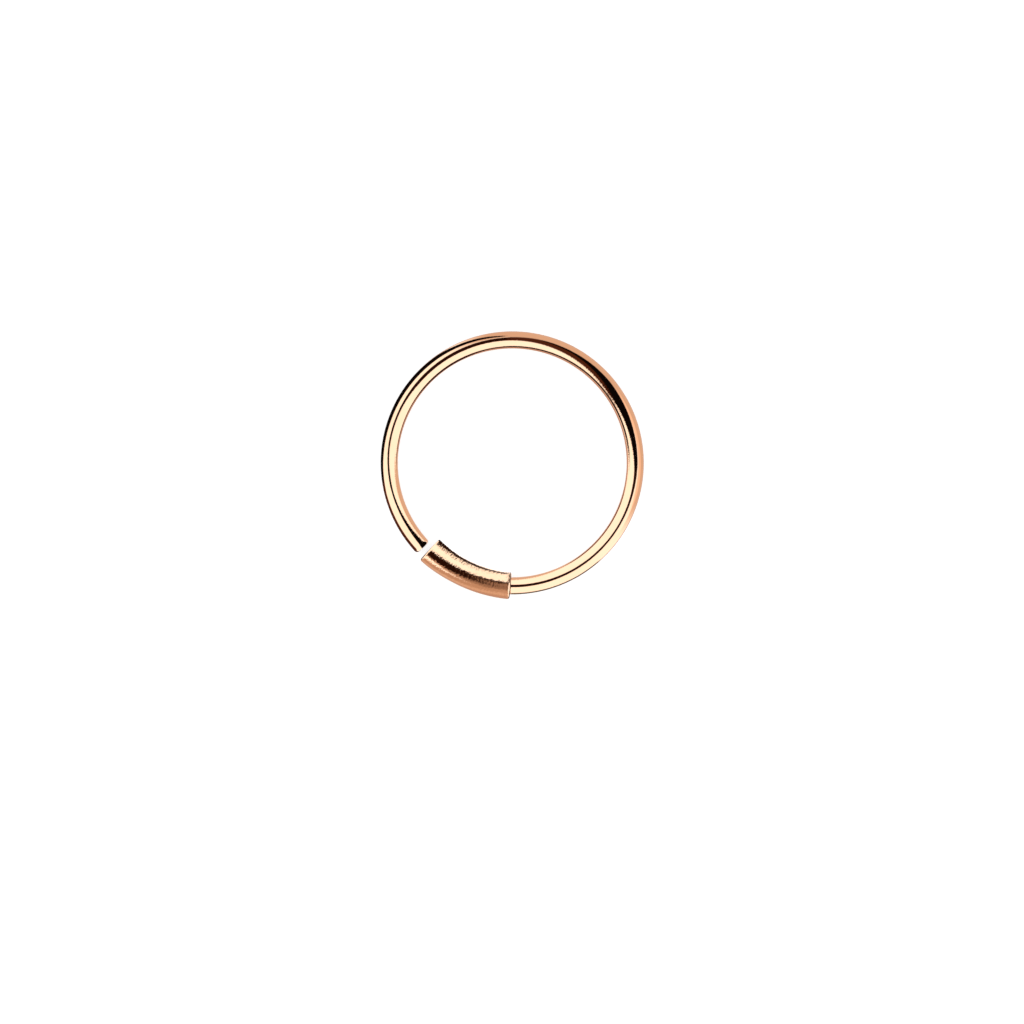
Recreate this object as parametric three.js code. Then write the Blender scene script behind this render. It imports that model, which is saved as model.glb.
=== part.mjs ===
// A nose ring lying on its side: a springy round wire hoop, closed by a short curved sleeve.
// One end of the wire is seated in the sleeve. The other end is a free tip, which is drawn out
// to open the ring and pushed into the sleeve's mouth to close it. The tip stands just clear of
// the mouth here.
// Millimetres, +Z up. The origin is under the hoop's centre, on the surface the ring lies on.
import * as THREE from "three";

// Driving dimensions. Angles are in degrees round the hoop's centre, counted from +X.
const insideDiameter = 8.0; // clear width of the hoop
const wireDiameter = 0.6;
const tipAngle = 223.6; // where the free tip ends
const tipRounding = 0.12; // the tip's edge, eased so that it slips through a piercing
const seatedLength = 1.5; // wire held inside the sleeve
const seatedRounding = 0.06;

const sleeveEndAngle = 269.1; // where the wire goes into the sleeve
const sleeveLean = 4.5; // the sleeve points in from the hoop's line by this angle
const sleeveBendRadius = 4.8; // a little straighter than the hoop
const sleeveLength = 3.15;
const sleeveDiameter = 0.95;
const mouthDiameter = 1.0; // the mouth is belled out to this
const bellLength = 1.3;
const boreDiameter = 0.66; // the wire's own size and 0.03 all round
const rimRounding = 0.07; // outer edge of both rims
const boreEasing = 0.03; // inner edge of both rims

// How fine the facets are.
const wireSides = 20;
const sleeveSides = 24;
const longestFacet = 0.3;
const roundingSteps = 3;
const restingPasses = 6;

const roseGold = 0xe9b18c;
const up = new THREE.Vector3(0, 0, 1);
const hoopRadius = (insideDiameter + wireDiameter) / 2;

// Both pieces follow arcs that run clockwise seen from above. This is the point on an arc at a
// length along it, moved inward, towards the arc's centre.
function pointOn(arc, along, inward = 0) {
  const angle = arc.start - along / arc.radius;
  return new THREE.Vector3(Math.cos(angle), Math.sin(angle), 0)
    .multiplyScalar(arc.radius - inward)
    .add(arc.centre);
}

// The hoop's arc runs from the free tip to the sleeve. The sleeve's arc goes on from there, at
// its own angle, to the mouth.
const hoopArc = {
  centre: new THREE.Vector3(),
  radius: hoopRadius,
  start: THREE.MathUtils.degToRad(tipAngle),
};
const hoopLength = hoopRadius * THREE.MathUtils.degToRad(tipAngle + 360 - sleeveEndAngle);
const sleeveArc = {
  centre: new THREE.Vector3(),
  radius: sleeveBendRadius,
  start: THREE.MathUtils.degToRad(sleeveEndAngle - sleeveLean),
};
sleeveArc.centre.subVectors(pointOn(hoopArc, hoopLength), pointOn(sleeveArc, 0));

// A quarter round in a profile, about a centre, from one angle to 90 degrees past it.
function quarterRound(radius, centreX, centreY, fromDegrees) {
  const points = [];
  for (let step = 0; step <= roundingSteps; step++) {
    const angle = THREE.MathUtils.degToRad(fromDegrees + (90 * step) / roundingSteps);
    points.push(
      new THREE.Vector2(centreX + radius * Math.cos(angle), centreY + radius * Math.sin(angle)),
    );
  }
  return points;
}

// The points of a profile's long wall between two heights, evenly spaced and without its ends,
// so that the wall can be bent smoothly.
function wallBetween(fromY, toY, radiusAt) {
  const steps = Math.ceil(Math.abs(toY - fromY) / longestFacet);
  const points = [];
  for (let step = 1; step < steps; step++) {
    const y = THREE.MathUtils.lerp(fromY, toY, step / steps);
    points.push(new THREE.Vector2(radiusAt(y), y));
  }
  return points;
}

// The wire before it is bent: a rod on the Y axis with its free tip at the bottom.
function wireProfile() {
  const radius = wireDiameter / 2;
  const length = hoopLength + seatedLength;
  return [
    new THREE.Vector2(0, 0),
    ...quarterRound(tipRounding, radius - tipRounding, tipRounding, -90),
    ...wallBetween(tipRounding, length - seatedRounding, () => radius),
    ...quarterRound(seatedRounding, radius - seatedRounding, length - seatedRounding, 0),
    new THREE.Vector2(0, length),
  ];
}

// The sleeve's outer radius, counted from the end that holds the wire. It is plain up to the
// bell, which opens in an easy curve.
function sleeveRadius(y) {
  const belled = THREE.MathUtils.smoothstep(y, sleeveLength - bellLength, sleeveLength);
  return THREE.MathUtils.lerp(sleeveDiameter, mouthDiameter, belled) / 2;
}

// The sleeve before it is bent: a tube on the Y axis with its mouth at the top. Its profile goes
// up the outside, over the mouth's rim, down the bore and round under the other rim.
function sleeveProfile() {
  const bore = boreDiameter / 2;
  const lowEdge = sleeveDiameter / 2 - rimRounding;
  const highEdge = mouthDiameter / 2 - rimRounding;
  const wallEnds = [rimRounding, sleeveLength - rimRounding];
  return [
    ...quarterRound(rimRounding, lowEdge, wallEnds[0], -90),
    ...wallBetween(...wallEnds, sleeveRadius),
    ...quarterRound(rimRounding, highEdge, wallEnds[1], 0),
    new THREE.Vector2(bore + boreEasing, sleeveLength),
    new THREE.Vector2(bore, sleeveLength - boreEasing),
    ...wallBetween(sleeveLength - boreEasing, boreEasing, () => bore),
    new THREE.Vector2(bore, boreEasing),
    new THREE.Vector2(bore + boreEasing, 0),
    new THREE.Vector2(lowEdge, 0),
  ];
}

// Turns a profile round the Y axis and bends the piece: its length follows a line, and its +X
// side faces the ring's centre.
function bentPiece(name, profile, sides, placeOnLine) {
  const geometry = new THREE.LatheGeometry(profile, sides);
  const position = geometry.attributes.position;
  for (let i = 0; i < position.count; i++) {
    const placed = placeOnLine(position.getY(i), position.getX(i));
    position.setXYZ(i, placed.x, placed.y, position.getZ(i));
  }
  geometry.computeVertexNormals();
  const material = new THREE.MeshStandardMaterial({
    name: "polished rose gold plate",
    color: roseGold,
    roughness: 0.12,
    metalness: 1,
  });
  const piece = new THREE.Mesh(geometry, material);
  piece.name = name;
  return piece;
}

function hoopWire() {
  return bentPiece("hoop_wire", wireProfile(), wireSides, (along, inward) =>
    along < hoopLength
      ? pointOn(hoopArc, along, inward)
      : pointOn(sleeveArc, along - hoopLength, inward),
  );
}

function closureSleeve() {
  return bentPiece("closure_sleeve", sleeveProfile(), sleeveSides, (along, inward) =>
    pointOn(sleeveArc, along, inward),
  );
}

// The floor as the flat ring sees it. It touches the ring at three places: under both ends of
// the sleeve, which is thicker than the wire, and under the far side of the hoop, where the
// floor comes up highest. That place and the floor's slope settle together in a few passes.
function floorUnderRing() {
  const underEnd = pointOn(sleeveArc, rimRounding).setZ(-sleeveDiameter / 2);
  const underMouth = pointOn(sleeveArc, sleeveLength - rimRounding).setZ(-mouthDiameter / 2);
  const floor = new THREE.Plane();
  let uphill = new THREE.Vector2(0, 1);
  for (let pass = 0; pass < restingPasses; pass++) {
    const underFarSide = new THREE.Vector3(
      hoopRadius * uphill.x,
      hoopRadius * uphill.y,
      -wireDiameter / 2,
    );
    floor.setFromCoplanarPoints(underEnd, underFarSide, underMouth);
    uphill = new THREE.Vector2(-floor.normal.x, -floor.normal.y).normalize();
  }
  return floor;
}

const noseRing = new THREE.Group();
noseRing.add(hoopWire(), closureSleeve());

// Lays the ring down: the floor's slope is taken out of it, and its three feet come to Z = 0.
const floor = floorUnderRing();
noseRing.quaternion.setFromUnitVectors(floor.normal, up);
noseRing.position.z = floor.constant;

export default noseRing;
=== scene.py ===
import math

import bmesh
import bpy
import numpy as np
from mathutils import Matrix, Vector


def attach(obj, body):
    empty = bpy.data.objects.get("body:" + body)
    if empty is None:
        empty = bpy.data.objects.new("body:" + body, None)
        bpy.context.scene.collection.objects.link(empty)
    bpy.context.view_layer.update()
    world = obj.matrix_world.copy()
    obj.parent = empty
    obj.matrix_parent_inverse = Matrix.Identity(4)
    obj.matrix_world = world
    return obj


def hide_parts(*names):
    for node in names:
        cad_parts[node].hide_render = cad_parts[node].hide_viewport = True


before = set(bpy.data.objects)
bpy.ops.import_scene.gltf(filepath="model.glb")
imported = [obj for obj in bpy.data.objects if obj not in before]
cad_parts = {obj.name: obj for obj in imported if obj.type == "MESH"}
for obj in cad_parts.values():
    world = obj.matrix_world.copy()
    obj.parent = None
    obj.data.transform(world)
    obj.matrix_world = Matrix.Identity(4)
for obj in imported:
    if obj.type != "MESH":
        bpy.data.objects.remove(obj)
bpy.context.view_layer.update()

mm = 0.001  # lengths below are in millimetres until they become a mesh
print("frame loaded:", sorted(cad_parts))


def fromHex(code):
    # sRGB hex to the linear colour that the shaders want
    def channel(pair):
        value = int(pair, 16) / 255
        return value / 12.92 if value <= 0.04045 else ((value + 0.055) / 1.055) ** 2.4
    return (channel(code[0:2]), channel(code[2:4]), channel(code[4:6]), 1.0)


def addNode(material, kind, settings, inputs):
    # one node with its settings, and a value or a link for each input
    node = material.node_tree.nodes.new(kind)
    for name, value in settings.items():
        setattr(node, name, value)
    for name, value in inputs.items():
        if isinstance(value, bpy.types.NodeSocket):
            material.node_tree.links.new(value, node.inputs[name])
        else:
            node.inputs[name].default_value = value
    return node


def smoothStep(low, high, value):
    t = np.clip((value - low) / (high - low), 0, 1)
    return t * t * (3 - 2 * t)


def newMaterial(name):
    material = bpy.data.materials.new(name)
    material.use_nodes = True
    material.node_tree.nodes.clear()
    return material


def newObject(name, vertices, faces, material):
    mesh = bpy.data.meshes.new(name)
    mesh.from_pydata(vertices, [], faces)
    mesh.materials.append(material)
    piece = bpy.data.objects.new(name, mesh)
    bpy.context.scene.collection.objects.link(piece)
    return piece


# Rose gold: gold with about a fifth of copper, plated on silver. Both finishes share its colour.
roseGold = {
    "thick": "FABC94",
    "thin": "F4B288",           # a little redder, where polishing has thinned the plate
    "patchSize": 0.8,
    "patchNoise": (0.35, 0.65),  # the range that the patches' noise mostly keeps to
}


def roseGoldPlate(name, finish):
    material = newMaterial(name)
    unbent = addNode(material, "ShaderNodeAttribute", {"attribute_name": "unbent"}, {}).outputs["Vector"]
    patches = addNode(material, "ShaderNodeTexNoise", {}, {
        "Vector": unbent,
        "Scale": 1 / roseGold["patchSize"],
        "Detail": 3.0,
    })
    # this node's sockets share their names, so they go by number: factor, first and second colour
    colour = addNode(material, "ShaderNodeMix", {"data_type": "RGBA"}, {
        0: patches.outputs["Fac"],
        6: fromHex(roseGold["thick"]),
        7: fromHex(roseGold["thin"]),
    })
    roughness = addNode(material, "ShaderNodeMapRange", {}, {
        "Value": patches.outputs["Fac"],
        "From Min": roseGold["patchNoise"][0],
        "From Max": roseGold["patchNoise"][1],
        "To Min": finish["roughness"][0],
        "To Max": finish["roughness"][1],
    })
    # The marks are drawn on the straight rod, so that they follow its bend. Real ones are a few
    # hundredths of a millimetre, too fine to show, so these are two or three times as coarse.
    drawnOut = addNode(material, "ShaderNodeMapping", {}, {
        "Vector": unbent,
        "Scale": [1 / size for size in finish["markSize"]],
    })
    marks = addNode(material, "ShaderNodeTexNoise", {}, {
        "Vector": drawnOut.outputs["Vector"],
        "Scale": 1.0,
        "Detail": 2.0,
    })
    bump = addNode(material, "ShaderNodeBump", {}, {
        "Distance": finish["markDepth"] * mm,
        "Height": marks.outputs["Fac"],
    })
    metal = addNode(material, "ShaderNodeBsdfPrincipled", {}, {
        "Base Color": colour.outputs[2],
        "Metallic": 1.0,
        "Roughness": roughness.outputs["Result"],
        "Normal": bump.outputs["Normal"],
    })
    addNode(material, "ShaderNodeOutputMaterial", {}, {"Surface": metal.outputs["BSDF"]})
    return material


# Angles are in degrees round the hoop's centre, counted from +X.
hoopWire = {
    "insideDiameter": 8.0,
    "wireDiameter": 0.6,
    "tipAngle": 223.6,          # where the free tip ends
    "tipRounding": 0.12,
    "seatedLength": 1.5,        # wire held inside the sleeve
    "seatedRounding": 0.06,
    "sides": 64,
    "facetLength": 0.04,
    "roughness": (0.04, 0.07),
    "markSize": (0.11, 0.045, 0.11),  # round the wire, along it, round it
    "markDepth": 0.0018,
}
closureSleeve = {
    "endAngle": 269.1,          # where the wire goes into the sleeve
    "lean": 4.5,                # it points in from the hoop's line by this angle
    "bendRadius": 4.8,
    "length": 3.15,
    "diameter": 0.95,
    "mouthDiameter": 1.0,
    "bellLength": 1.3,
    "boreDiameter": 0.66,
    "rimRounding": 0.07,
    "boreEasing": 0.03,
    "sides": 96,
    "facetLength": 0.04,
    "roughness": (0.045, 0.085),
    "markSize": (0.1, 0.055, 0.1),
    "markDepth": 0.012,
}
hoopRadius = (hoopWire["insideDiameter"] + hoopWire["wireDiameter"]) / 2
settlingPasses = 6


def pointOn(arc, along, inward=0.0, height=0.0):
    # a place beside an arc, which runs clockwise seen from above
    angle = arc["start"] - along / arc["radius"]
    reach = arc["radius"] - inward
    return arc["centre"] + Vector((reach * math.cos(angle), reach * math.sin(angle), height))


hoopArc = {"centre": Vector(), "radius": hoopRadius, "start": math.radians(hoopWire["tipAngle"])}
hoopLength = hoopRadius * math.radians(hoopWire["tipAngle"] + 360 - closureSleeve["endAngle"])
sleeveArc = {
    "centre": Vector(),
    "radius": closureSleeve["bendRadius"],
    "start": math.radians(closureSleeve["endAngle"] - closureSleeve["lean"]),
}
sleeveArc["centre"] = pointOn(hoopArc, hoopLength) - pointOn(sleeveArc, 0)


def onWire(along, inward, height):
    if along < hoopLength:
        return pointOn(hoopArc, along, inward, height)
    return pointOn(sleeveArc, along - hoopLength, inward, height)


def onSleeve(along, inward, height):
    return pointOn(sleeveArc, along, inward, height)


def layDown():
    # the ring stands on both ends of the sleeve and on the far side of the hoop, and that last
    # place settles together with the ring's slope in a few passes
    rim, length = closureSleeve["rimRounding"], closureSleeve["length"]
    underEnd = onSleeve(rim, 0, -closureSleeve["diameter"] / 2)
    underMouth = onSleeve(length - rim, 0, -closureSleeve["mouthDiameter"] / 2)
    uphill = Vector((0, 1, 0))
    for _ in range(settlingPasses):
        underFarSide = uphill * hoopRadius + Vector((0, 0, -hoopWire["wireDiameter"] / 2))
        normal = (underMouth - underEnd).cross(underFarSide - underEnd).normalized()
        normal *= math.copysign(1, normal.z)
        uphill = Vector((-normal.x, -normal.y, 0)).normalized()
    level = normal.rotation_difference(Vector((0, 0, 1))).to_matrix().to_4x4()
    return Matrix.Translation((0, 0, -normal.dot(underEnd))) @ level


laidDown = layDown()
ringHeight = laidDown.translation.z


def quarterRound(radius, centreX, centreY, fromDegrees, steps=8):
    angles = [math.radians(fromDegrees + 90 * k / steps) for k in range(steps + 1)]
    return [(centreX + radius * math.cos(a), centreY + radius * math.sin(a)) for a in angles]


def wallBetween(fromY, toY, facetLength, radiusAt):
    count = math.ceil(abs(toY - fromY) / facetLength)
    heights = [fromY + (toY - fromY) * k / count for k in range(1, count)]
    return [(radiusAt(y), y) for y in heights]


def bentPiece(name, profile, sides, closed, placeOnLine, material):
    # turns a profile of (radius, length) into a straight rod or tube, and bends it along its line
    vertices, straight, rings = [], [], []
    for radius, along in profile:
        count = 1 if radius == 0 else sides  # the wire's end faces close in one point
        rings.append(range(len(vertices), len(vertices) + count))
        for k in range(count):
            around = 2 * math.pi * k / sides
            inward, height = radius * math.cos(around), radius * math.sin(around)
            vertices.append(laidDown @ placeOnLine(along, inward, height) * mm)
            straight.append((inward, along, height))
    if closed:
        rings.append(rings[0])
    faces = []
    for low, high in zip(rings, rings[1:]):
        for k in range(sides):
            following = (k + 1) % sides
            corners = [low[k % len(low)], low[following % len(low)],
                       high[following % len(high)], high[k % len(high)]]
            faces.append(list(dict.fromkeys(corners)))
    piece = newObject(name, vertices, faces, material)
    unbent = piece.data.attributes.new("unbent", "FLOAT_VECTOR", "POINT")
    unbent.data.foreach_set("vector", np.array(straight, np.float32).ravel())
    facing = bmesh.new()
    facing.from_mesh(piece.data)
    bmesh.ops.recalc_face_normals(facing, faces=facing.faces)
    facing.to_mesh(piece.data)
    facing.free()
    piece.data.shade_smooth()
    return piece


def makeHoopWire():
    radius = hoopWire["wireDiameter"] / 2
    length = hoopLength + hoopWire["seatedLength"]
    tip, seat = hoopWire["tipRounding"], hoopWire["seatedRounding"]
    profile = [
        (0, 0),
        *quarterRound(tip, radius - tip, tip, -90),
        *wallBetween(tip, length - seat, hoopWire["facetLength"], lambda y: radius),
        *quarterRound(seat, radius - seat, length - seat, 0),
        (0, length),
    ]
    # Drawn wire, plated and polished: it mirrors the room in long clean bands, and only faint
    # marks roughen their edges.
    material = roseGoldPlate("rose gold plated wire, drawn and polished", hoopWire)
    piece = bentPiece("hoopWire", profile, hoopWire["sides"], False, onWire, material)
    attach(piece, "root")
    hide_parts("hoop_wire")


def makeClosureSleeve():
    sleeve = closureSleeve
    bore, rim, easing = sleeve["boreDiameter"] / 2, sleeve["rimRounding"], sleeve["boreEasing"]
    length, facetLength = sleeve["length"], sleeve["facetLength"]

    def outerRadius(y):
        belled = smoothStep(length - sleeve["bellLength"], length, y)
        return (sleeve["diameter"] + (sleeve["mouthDiameter"] - sleeve["diameter"]) * belled) / 2

    profile = [
        *quarterRound(rim, sleeve["diameter"] / 2 - rim, rim, -90),
        *wallBetween(rim, length - rim, facetLength, outerRadius),
        *quarterRound(rim, sleeve["mouthDiameter"] / 2 - rim, length - rim, 0),
        (bore + easing, length),
        (bore, length - easing),
        *wallBetween(length - easing, easing, facetLength, lambda y: bore),
        (bore, easing),
        (bore + easing, 0),
    ]
    # Cut tube, plated and tumbled: still a mirror, but its small dents tear the edges of each
    # reflection and speckle the dark ones.
    material = roseGoldPlate("rose gold plated tube, tumbled", sleeve)
    piece = bentPiece("closureSleeve", profile, sleeve["sides"], True, onSleeve, material)
    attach(piece, "root")
    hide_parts("closure_sleeve")


makeHoopWire()
print("hoop wire made")
makeClosureSleeve()
print("closure sleeve made")


# The light tent is two tunnels of cloth that follow the ring, one round the sleeve and one round
# the wire, so that every place on them sees its own panels. Only the polish sees the cloth.
# Angles round the hoop run from 225, the gap, anticlockwise to 585, the gap again, and the sleeve
# ends at 269. Angles over the metal run from 0, level and outward, through 90, overhead, to 180,
# level and inward.
tent = {
    "radius": 3.4,
    "roundStep": 0.5,
    "overStep": 2.0,
    "sleeveSpan": (225.1, 269.2),
    "wireSpan": (269.3, 584.9),
    "curtainRings": (0, 0.52, 0.56, 0.8, 1, 1.5, 2.5),
    "darkDisc": 0.52,           # on the sleeve's curtains, with a pale ring round it, overhead,
    "paleRing": 0.8,            # for the sleeve's rims to show
    "paleSpread": 75,
    "shadedFrom": 105,          # at the wire's end the ring is dark from here inward
}


def clothOf(code, strength=1.0):
    return np.array(fromHex(code)[:3]) * strength


bright = clothOf("D2EDFF", 2.25)  # a cool soft box
pale = clothOf("FFFAF5", 1.15)
warm = clothOf("E7E5E1")          # cloth with little light behind it
table = clothOf("CBBCB5")
shade = clothOf("616155")
brown = clothOf("503022")
umber = clothOf("29160D")
black = clothOf("0D0A0A")

# Each panel lies over the ones before it. soft is how wide its long edges fade, ends is how far
# its ends fade, and a station is (angle round the hoop, lower edge, upper edge).
wirePanels = [
    {"name": "table, outside", "light": table, "soft": 25, "ends": 1,
     "stations": [(269, -100, -40), (585, -100, -40)]},
    {"name": "table, inside", "light": table, "soft": 25, "ends": 1,
     "stations": [(269, 200, 280), (585, 200, 280)]},
    {"name": "shaded edge outside, front", "light": shade, "soft": 15, "ends": 4,
     "stations": [(268, -100, -18), (310, -100, -24)]},
    {"name": "warm cloth outside, right", "light": warm, "soft": 8, "ends": 22,
     "stations": [(345, -50, 30), (375, -50, 40), (395, -50, 50), (460, -50, 58)]},
    {"name": "pale fold outside, right", "light": pale, "soft": 20, "ends": 15,
     "stations": [(350, 12, 50), (385, 25, 55)]},
    {"name": "warm cloth inside, left", "light": warm, "soft": 12, "ends": 3,
     "stations": [(534, 165, 280), (550, 150, 280), (570, 155, 280), (585, 168, 280)]},
    {"name": "warm cloth inside, front", "light": warm, "soft": 18, "ends": 12,
     "stations": [(269, 165, 280), (300, 195, 280)]},
    {"name": "black card outside, left", "light": black, "soft": 7, "ends": 4,
     "stations": [(455, 30, 48), (465, 5, 40), (475, -15, 33), (484, -45, 27), (495, -60, 25),
                  (505, -120, 23), (520, -120, 20), (535, -120, 12), (550, -90, 4)]},
    {"name": "brown card outside, left", "light": brown, "soft": 12, "ends": 4,
     "stations": [(550, -90, 0), (562, -80, 6), (585, -90, 13)]},
    {"name": "dark band inside, back", "light": umber, "soft": 8, "ends": 6,
     "stations": [(372, 163, 193), (410, 169, 201), (460, 183, 207), (475, 183, 230), (495, 185, 225),
                  (505, 190, 208), (532, 191, 205)]},
    {"name": "dark band inside, front", "light": brown, "soft": 8, "ends": 10,
     "stations": [(308, 196, 218), (345, 194, 215)]},
    {"name": "lens, back", "light": umber, "soft": 6, "ends": 1,
     "stations": [(448, 58, 100), (470, 63, 106), (495, 65, 106), (510, 66, 93), (530, 64, 88),
                  (550, 75, 99)]},
    {"name": "lens, left", "light": black, "soft": 6, "ends": 12,
     "stations": [(550, 76, 98), (560, 84, 110), (570, 88, 124), (577, 86, 140), (585, 80, 158)]},
    {"name": "lens, front", "light": umber, "soft": 6, "ends": 1,
     "stations": [(268, 72, 106), (285, 72, 104), (300, 73, 102), (330, 71, 96), (345, 69, 98),
                  (361, 61, 104)]},
    {"name": "camera arm, brown edge", "light": brown, "soft": 14, "ends": 1,
     "stations": [(397, 80, 168), (405, 65, 148), (410, 45, 136), (420, 46, 120), (435, 48, 106),
                  (450, 56, 100)]},
    {"name": "cable", "light": brown, "soft": 10, "ends": 2,
     "stations": [(395, 140, 200), (398, 140, 195)]},
    {"name": "camera arm", "light": black, "soft": 6, "ends": 1,
     "stations": [(359, 61, 104), (375, 57, 126), (390, 48, 144), (396, 42, 150), (400, 38, 116),
                  (410, 38, 88), (420, 44, 70), (435, 50, 60)]},
]
sleevePanels = [
    {"name": "warm cloth", "light": clothOf("CBBDB1"), "soft": 8, "ends": 1,
     "stations": [(225, -120, 75), (269, -120, 108)]},
    {"name": "lighter fold", "light": clothOf("E5DDD4"), "soft": 22, "ends": 12,
     "stations": [(232, -45, -15), (250, -25, 5), (262, -5, 25)]},
    {"name": "darker fold", "light": clothOf("9E9086"), "soft": 14, "ends": 8,
     "stations": [(250, 46, 60), (269, 56, 108)]},
    {"name": "pale streak", "light": bright, "soft": 9, "ends": 8,
     "stations": [(225, 14, 46), (234, 24, 42), (240, 32, 40)]},
    {"name": "dark band", "light": umber, "soft": 6, "ends": 14,
     "stations": [(225, 54, 97), (240, 54, 108), (252, 68, 115)]},
    {"name": "dark line", "light": umber, "soft": 6, "ends": 1,
     "stations": [(252, 92, 115), (269, 102, 117)]},
    {"name": "band inside", "light": umber, "soft": 7, "ends": 1,
     "stations": [(225, 147, 242), (233, 155, 232), (241, 168, 225), (252, 181, 220),
                  (269, 186, 212)]},
]


def clothLight(panels, roundAngle, overAngle):
    light = np.ones((*roundAngle.shape, 3)) * bright
    for panel in panels:
        rounds, lows, highs = np.array(panel["stations"], float).T
        low, high = np.interp(roundAngle, rounds, lows), np.interp(roundAngle, rounds, highs)
        soft, ends = panel["soft"] / 2, panel["ends"]
        cover = smoothStep(low - soft, low + soft, overAngle)
        cover *= smoothStep(high + soft, high - soft, overAngle)
        cover *= smoothStep(rounds[0] - ends, rounds[0], roundAngle)
        cover *= smoothStep(rounds[-1] + ends, rounds[-1], roundAngle)
        light += (panel["light"] - light) * cover[..., None]
    return light


def tentCloth():
    # white cloth, woven too fine to show in so small a mirror: even light with soft edges
    material = newMaterial("light tent cloth, woven")
    lit = addNode(material, "ShaderNodeAttribute", {"attribute_name": "panelLight"}, {})
    glow = addNode(material, "ShaderNodeEmission", {}, {"Color": lit.outputs["Color"]})
    addNode(material, "ShaderNodeOutputMaterial", {}, {"Surface": glow.outputs["Emission"]})
    material.cycles.emission_sampling = "NONE"  # it is only ever found by reflections
    return material


def makeTunnel(name, span, panels, ringedEnds, cloth):
    # a curtain across each end keeps the other tunnel out of sight
    along = [(a, tent["radius"]) for a in np.arange(*span, tent["roundStep"])]
    nearCurtain = [(span[0], r) for r in tent["curtainRings"]]
    farCurtain = [(span[1], r) for r in reversed(tent["curtainRings"])]
    rows = nearCurtain + along + farCurtain
    angles, radii = np.array(rows).T
    overAngles = np.arange(-90, 270, tent["overStep"])
    roundAngle, overAngle = np.meshgrid(angles, overAngles, indexing="ij")
    turn, over, radius = np.radians(roundAngle), np.radians(overAngle), radii[:, None]
    reach = hoopRadius + radius * np.cos(over)
    height = ringHeight + radius * np.sin(over)
    places = np.stack([reach * np.cos(turn), reach * np.sin(turn), height], -1)
    # each place is joined to the next along and the next over, and the last over to the first
    index = np.arange(roundAngle.size).reshape(roundAngle.shape)
    nextOver = np.roll(index, -1, 1)
    faces = np.stack([index[:-1], nextOver[:-1], nextOver[1:], index[1:]], -1)
    vertices = (places.reshape(-1, 3) * mm).tolist()
    piece = newObject(name, vertices, faces.reshape(-1, 4).tolist(), cloth)
    light = clothLight(panels, roundAngle, overAngle)
    if ringedEnds:
        ring = (radius <= tent["paleRing"]) & (abs(overAngle - 90) < tent["paleSpread"])
        light[ring] = bright
        light[ring & (roundAngle == span[1]) & (overAngle > tent["shadedFrom"])] = umber
        light[radii <= tent["darkDisc"]] = umber
    light = np.concatenate([light, np.ones((*roundAngle.shape, 1))], -1)  # with an alpha of 1
    colours = piece.data.color_attributes.new("panelLight", "FLOAT_COLOR", "POINT")
    colours.data.foreach_set("color", light.astype(np.float32).ravel())
    for seenBy in ("camera", "diffuse", "transmission", "volume_scatter", "shadow"):
        setattr(piece, "visible_" + seenBy, False)


floorSheet = {
    "size": 1200.0,
    "colour": "BCBCBC",
    "glow": 0.7,                # lit from below, so that shadows on it stay faint
}


def makeFloor():
    # opal acrylic, cast and matt: a plain white with soft faint shadows
    material = newMaterial("opal acrylic sheet, matt")
    acrylic = addNode(material, "ShaderNodeBsdfPrincipled", {}, {
        "Base Color": fromHex(floorSheet["colour"]),
        "Roughness": 0.6,
        "Emission Color": fromHex("FFFFFF"),
        "Emission Strength": floorSheet["glow"],
    })
    addNode(material, "ShaderNodeOutputMaterial", {}, {"Surface": acrylic.outputs["BSDF"]})
    half = floorSheet["size"] / 2 * mm
    corners = [(-half, -half, 0), (half, -half, 0), (half, half, 0), (-half, half, 0)]
    floor = newObject("floor", corners, [(0, 1, 2, 3)], material)
    floor.visible_glossy = False  # the tent's lower half stands in for it


def lightRoom():
    world = bpy.data.worlds.new("white room")
    world.use_nodes = True
    world.node_tree.nodes["Background"].inputs["Color"].default_value = fromHex("FFFFFF")
    bpy.context.scene.world = world
    bpy.context.scene.view_settings.view_transform = "Standard"


cloth = tentCloth()
makeTunnel("lightTentSleeve", tent["sleeveSpan"], sleevePanels, True, cloth)
makeTunnel("lightTentWire", tent["wireSpan"], wirePanels, False, cloth)
makeFloor()
lightRoom()
print("studio made")


camera = {
    "lens": 100.0,
    "sensor": 36.0,
    "viewWidth": 35.8,          # what the frame takes in at the ring
    "aim": (-0.012, -1.721),    # it looks straight down here, so the ring lies above the middle
}


def makeCamera():
    data = bpy.data.cameras.new("camera")
    data.lens = camera["lens"]
    data.sensor_width = camera["sensor"]
    data.clip_start = 5 * mm
    data.clip_end = 1.0
    data.dof.use_dof = False
    above = ringHeight + camera["viewWidth"] * camera["lens"] / camera["sensor"]
    holder = bpy.data.objects.new("camera", data)
    holder.location = Vector((*camera["aim"], above)) * mm
    bpy.context.scene.collection.objects.link(holder)
    bpy.context.scene.camera = holder


makeCamera()
print("camera made")
